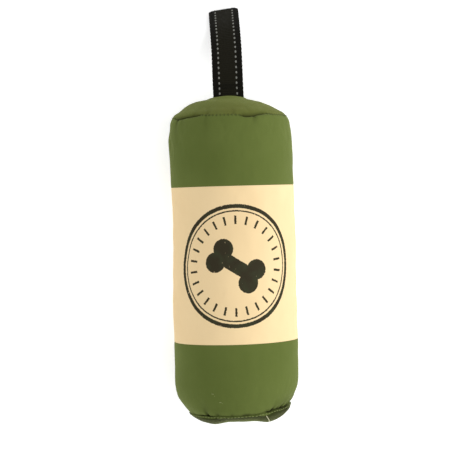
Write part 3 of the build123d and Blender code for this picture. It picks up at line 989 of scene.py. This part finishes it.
strap_row, top_row, bottom_row, plain_row = seam_rows[1:5]
rim_row = np.searchsorted(cover_rows, S_PLAIN_SEAM + 1.8 * MM)  # the plain end is also sewn along its rim
for name, row, node, pitch, under, material in (
    ("strap_ring_stitches", strap_row, "strap_ring_thread", STITCH_PITCH, 0, cover_thread),
    ("band_top_stitches", top_row, "band_top_thread", HIDDEN_PITCH, 0.9 * MM, cover_thread),
    ("band_bottom_stitches", bottom_row, "band_bottom_thread", HIDDEN_PITCH, 0.9 * MM, cover_thread),
    ("plain_ring_stitches", rim_row, "plain_ring_thread", RIM_PITCH, -0.3 * MM, rim_thread),
):
    stitch_line(name, *seam_ring(row, under), pitch, node, material)

side_column = round(AROUND * SIDE_SEAM_TURN)
side_rows = slice(strap_row, plain_row)
side_out = cover_out[side_rows, side_column]
side_points = cover[side_rows, side_column] - 1.2 * MM * side_out
stitch_line("side_seam_stitches", side_points, side_out, HIDDEN_PITCH, "side_seam_thread")

centre_rows = slice(round(0.12 * strap_row), strap_row)
centre_points, centre_out = (
    np.concatenate([grid[centre_rows, AROUND // 2][::-1], grid[centre_rows, 0]])
    for grid in (cover, cover_out)
)
beside = np.abs(centre_points[:, 0]) > SLOT_HALF_WIDTH
centre_points, centre_out = centre_points[beside], centre_out[beside]
stitch_line("centre_seam_stitches", centre_points, centre_out, CENTRE_PITCH, "centre_seam_thread")


# ---- webbing loop ----


def loop_route(step=0.4 * MM):
    """Places along the loop from one sewn end to the other, with the centre line's y, z and heading."""
    top = AXIS_Z + LEG_OFFSET
    bottom = AXIS_Z - LEG_OFFSET
    upper_drop = UPPER_BEND_RADIUS * (1 - math.cos(UPPER_SLOPE))
    upper_drop += TIP_FOLD_RADIUS * (1 + math.cos(UPPER_SLOPE))
    upper_run = (top - upper_drop - LOOP_FLOOR) / math.sin(UPPER_SLOPE)
    tip_y = loop_high.y - TIP_FOLD_RADIUS - WEBBING / 2
    neck_end = tip_y - upper_run * math.cos(UPPER_SLOPE)
    neck_end -= (UPPER_BEND_RADIUS - TIP_FOLD_RADIUS) * math.sin(UPPER_SLOPE)
    bends = NECK_BEND_RADIUS + LOWER_BEND_RADIUS
    lower_run = (bottom - bends * (1 - math.cos(LOWER_SLOPE)) - LOOP_FLOOR) / math.sin(LOWER_SLOPE)
    touch_y = neck_end + bends * math.sin(LOWER_SLOPE) + lower_run * math.cos(LOWER_SLOPE)
    straight = neck_end - SEWN_END_Y
    moves = (
        (straight, 0),
        (UPPER_BEND_RADIUS * UPPER_SLOPE, -UPPER_SLOPE),
        (upper_run, 0),
        (TIP_FOLD_RADIUS * (math.pi - UPPER_SLOPE), UPPER_SLOPE - math.pi),
        (tip_y - touch_y, 0),
        (LOWER_BEND_RADIUS * LOWER_SLOPE, -LOWER_SLOPE),
        (lower_run, 0),
        (NECK_BEND_RADIUS * LOWER_SLOPE, LOWER_SLOPE),
        (straight, 0),
    )
    ends = np.cumsum([0] + [length for length, _ in moves])
    places = np.arange(0, ends[-1], step)
    heading = np.interp(places, ends, np.cumsum([0] + [turn for _, turn in moves]))
    y = SEWN_END_Y + np.concatenate([[0], np.cumsum(np.cos(heading[:-1]) * step)])
    z = top + np.concatenate([[0], np.cumsum(np.sin(heading[:-1]) * step)])
    return places, y, z, heading


route_places, route_y, route_z, route_heading = loop_route()
# the little by which the steps miss the second sewn end is spread along the loop
route_z -= np.linspace(0, 1, len(route_z)) * (route_z[-1] - (AXIS_Z - LEG_OFFSET))
route_y -= np.linspace(0, 1, len(route_y)) * (route_y[-1] - route_y[0])


def on_loop(places, x, lift):
    """Points on the webbing: a place along it, x across it and a height over its centre line."""
    y = np.interp(places, route_places, route_y)
    z = np.interp(places, route_places, route_z)
    heading = np.interp(places, route_places, route_heading)
    out_share = smooth(y, STRAP_APEX, loop_high.y)
    moved_x = x + (LOOP_LEAN * np.maximum(y - STRAP_APEX, 0) + LOOP_BOW * np.sin(out_share * math.pi))
    into_corner = np.clip(np.abs(x) - TIP_CORNER_START, 0, None) / TIP_CORNER_WIDTH
    corner = into_corner**2 * np.where(x > 0, 1, 0.5)
    near_tip = smooth(y, loop_high.y - TIP_REACH, loop_high.y)
    moved_y = y - lift * np.sin(heading) + LOOP_TIP_SLANT * x * out_share - TIP_ROUNDING * corner * near_tip
    moved_z = z + lift * np.cos(heading)
    return np.stack(np.broadcast_arrays(moved_x, moved_y, np.maximum(moved_z, 0)), -1)


def loop_axes(places, x, lift):
    """A point on the webbing with the directions along, across and out of it."""
    here = on_loop(places, x, lift)
    along = unit(on_loop(places + 0.5 * MM, x, lift) - here)
    across = unit(on_loop(places, x + 0.5 * MM, lift) - here)
    return here, along, across, np.cross(along, across)


def webbing_section():
    """The webbing's outline as (x, lift): flat faces, shallow grooves under the pale yarn, round edges."""
    half, thick = WEBBING_WIDTH / 2, WEBBING / 2
    face_x = np.linspace(-half + thick, half - thick, 31)
    groove = 0.12 * MM * bump(np.abs(face_x) - TRACER_OFFSET, 0.9 * MM)
    rim = 0.1 * MM * bump(np.abs(face_x) - (half - 1.2 * MM), 0.9 * MM)
    face_lift = thick - groove - rim
    edge = np.linspace(math.pi / 2, -math.pi / 2, 7)[1:-1]
    right_x, right_lift = half - thick + thick * np.cos(edge), thick * np.sin(edge)
    x = np.concatenate([face_x, right_x, face_x[::-1], -right_x[::-1]])
    lift = np.concatenate([face_lift, right_lift, -face_lift[::-1], right_lift[::-1]])
    return x, lift


section_x, section_lift = webbing_section()
margin = smooth(np.abs(section_x), TRACER_OFFSET + 1 * MM, TRACER_OFFSET + 2 * MM)
ribs = np.sin(route_places[:, None] * TURN / RIB_PITCH) * (0.02 + 0.07 * margin) * MM
edge_wave = np.sin(route_places[:, None] * TURN / (2 * RIB_PITCH)) * 0.12 * MM * np.sign(section_x) * margin
loop_grid = on_loop(
    route_places[:, None], section_x[None] + edge_wave, section_lift[None] + ribs * np.sign(section_lift)
)
loop_uv = np.stack(np.broadcast_arrays(np.append(section_x, section_x[0])[None], route_places[:, None]), 2)
loop_mesh = grid_mesh("webbing_loop", loop_grid, loop_uv, caps=(0, -1))


def bend_with_loop(piece):
    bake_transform(piece)


bend_with_loop(add_piece("webbing_loop", loop_mesh, webbing, "webbing", "handle_loop", "handle_tails"))


def tracer_row(name, x, node):
    """Where one row of pale yarn comes up through the outside of the webbing."""
    first = STRAP_APEX - route_y[0] + 1.5 * MM
    places = np.arange(first, route_places[-1] - first, TRACER_PITCH)
    places = places + dice.uniform(-0.15, 0.15, len(places)) * MM
    x = x + dice.uniform(-0.08, 0.08, len(places)) * MM
    here, along, across, out = loop_axes(places, x, WEBBING / 2)
    mesh = pill_mesh(name, here, along, across, out, TRACER_DOT, 0.8)
    bend_with_loop(add_piece(name, mesh, tracer_yarn, "tracer_yarn", node))


tracer_row("tracer_row_left", -TRACER_OFFSET, "tracer_yarn_left")
tracer_row("tracer_row_right", TRACER_OFFSET, "tracer_yarn_right")


def bar_tack(name, y, rows, node):
    """Close rows of dark stitches across both faces of the doubled webbing."""
    first = y - route_y[0]
    x = np.arange(-10.5 * MM, 10.6 * MM, 1.5 * MM)
    meshes = []
    for back in (False, True):
        for row in range(rows):
            place = first + (row - (rows - 1) / 2) * TACK_ROW_PITCH
            places = np.full(len(x), route_places[-1] - place if back else place)
            here, along, across, out = loop_axes(places, x, WEBBING / 2)
            meshes.append((here, across, along, out))
    here, across, along, out = (np.concatenate(part) for part in zip(*meshes))
    mesh = pill_mesh(name, here, across, along, out, TACK_STITCH)
    bend_with_loop(add_piece(name, mesh, dark_thread, "webbing_thread", node))


bar_tack("neck_tack", (tack_low.y + tack_high.y) / 2, 4, "neck_bar_tack")
bar_tack("tail_tack", STRAP_APEX - 6 * MM, 3, "tail_stitching")


# ---- loose thread and lint ----


def thread_curve(name, points, thickness, material):
    """A short free thread through a few points."""
    curve = bpy.data.curves.new(name, "CURVE")
    curve.dimensions = "3D"
    curve.bevel_depth = thickness / 2
    curve.bevel_resolution = 3
    line = curve.splines.new("NURBS")
    line.points.add(len(points) - 1)
    for point, place in zip(line.points, points):
        point.co = (*place, 1)
    line.order_u = 3
    line.use_endpoint_u = True
    piece = add_piece(name, curve, material, "cover_thread")
    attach(piece, "bumper")


loose_row = np.searchsorted(cover_rows, S_PLAIN_SEAM + 4.5 * MM)
loose_column = round(AROUND * LOOSE_END_TURN)
loose_start = Vector(cover[loose_row, loose_column])
loose_out = Vector(cover_out[loose_row, loose_column])
loose_points = [loose_start]
for lift, drift in ((1.4, (0.3, -0.8, 0)), (1.6, (1.4, -2.4, 0)), (0.6, (1.9, -4.4, -0.6))):
    loose_points.append(loose_start + loose_out * lift * MM + Vector(drift) * MM)
thread_curve("loose_thread_end", loose_points, 0.6 * MM, pale_thread)


def lint(name, x, y, turn, length):
    """A fibre lying on the top of the cover."""
    gap = np.linalg.norm(cover[:, :, :2] - np.array([x, y]), axis=2) + (cover[:, :, 2] < AXIS_Z)
    row, column = np.unravel_index(gap.argmin(), gap.shape)
    here = Vector(cover[row, column]) + Vector(cover_out[row, column]) * 0.2 * MM
    step = Vector((math.cos(turn), math.sin(turn), 0)) * length / 2
    bend = Vector((-step.y, step.x, 0)) * 0.5
    points = [here - step, here - step * 0.3 + bend, here + step * 0.5 + bend, here + step]
    thread_curve(name, points, 0.26 * MM, lint_fibre)


lint("lint_left", -19.5 * MM, -106 * MM, -0.7, 3.4 * MM)
lint("lint_right", -13.2 * MM, -112.6 * MM, -0.3, 2.4 * MM)


# ---- floor, light and camera ----


def soft_light(name, place, size, power, aim):
    light = bpy.data.lights.new(name, "AREA")
    light.shape = "DISK"
    light.size = size
    light.energy = power
    lamp = linked(name, light)
    lamp.location = place
    lamp.rotation_euler = (Vector(aim) - Vector(place)).to_track_quat("-Z", "Y").to_euler()


FLOOR_REACH = 40
FLOOR_GLOW = 0.46
SKY_STRENGTH = 0.67
floor_corners = [(x * FLOOR_REACH, y * FLOOR_REACH, 0) for x, y in ((-1, -1), (1, -1), (1, 1), (-1, 1))]
floor_mesh = bpy.data.meshes.new("floor")
floor_mesh.from_pydata(floor_corners, [], [(0, 1, 2, 3)])
floor = linked("floor", floor_mesh)
paper = Nodes("paper")
paper_tone = paper.mix(paper.noise(3, 2), *PAPER)
paper_material = paper.finish(paper_tone, 0.0, 0.01 * MM, roughness=0.9, sheen=0.0, specular=0.1)
floor_mesh.materials.append(paper_material)
paper.shader.inputs["Emission Color"].default_value = (1, 1, 1, 1)
paper.shader.inputs["Emission Strength"].default_value = FLOOR_GLOW

world = bpy.data.worlds.new("studio")
world.use_nodes = True
sky = world.node_tree.nodes["Background"]
sky.inputs["Color"].default_value = (1, 1, 1, 1)
sky.inputs["Strength"].default_value = SKY_STRENGTH
bpy.context.scene.world = world
soft_light("key", (1.6, 0.1, 0.8), 1.1, 14, (0, 0, 0.05))
soft_light("top", (0.2, -0.5, 2.1), 1.6, 7, (0, 0, 0))

SENSOR = 36
VIEW_PIXELS = 452
PIXEL = 0.825 * MM  # at the height of the body's axis
EYE_DISTANCE = 1.361
EYE_Y = 51.4 * MM
AIM_Y = 27.4 * MM
EYE_X = -5.1 * MM
ROLL = math.radians(1.64)
camera_data = bpy.data.cameras.new("camera")
camera_data.sensor_width = SENSOR
camera_data.lens = SENSOR * EYE_DISTANCE / (VIEW_PIXELS * PIXEL)
camera = linked("camera", camera_data)
eye = Vector((EYE_X, EYE_Y, AXIS_Z + EYE_DISTANCE))
forward = (Vector((EYE_X, AIM_Y, AXIS_Z)) - eye).normalized()
right = forward.cross(Vector((0, 1, 0))).normalized()
up = right.cross(forward)
level = Matrix((right, up, -forward)).transposed().to_4x4()
camera.matrix_world = Matrix.Translation(eye) @ level @ Matrix.Rotation(-ROLL, 4, "Z")
bpy.context.scene.camera = camera
bpy.context.scene.view_settings.view_transform = "Standard"
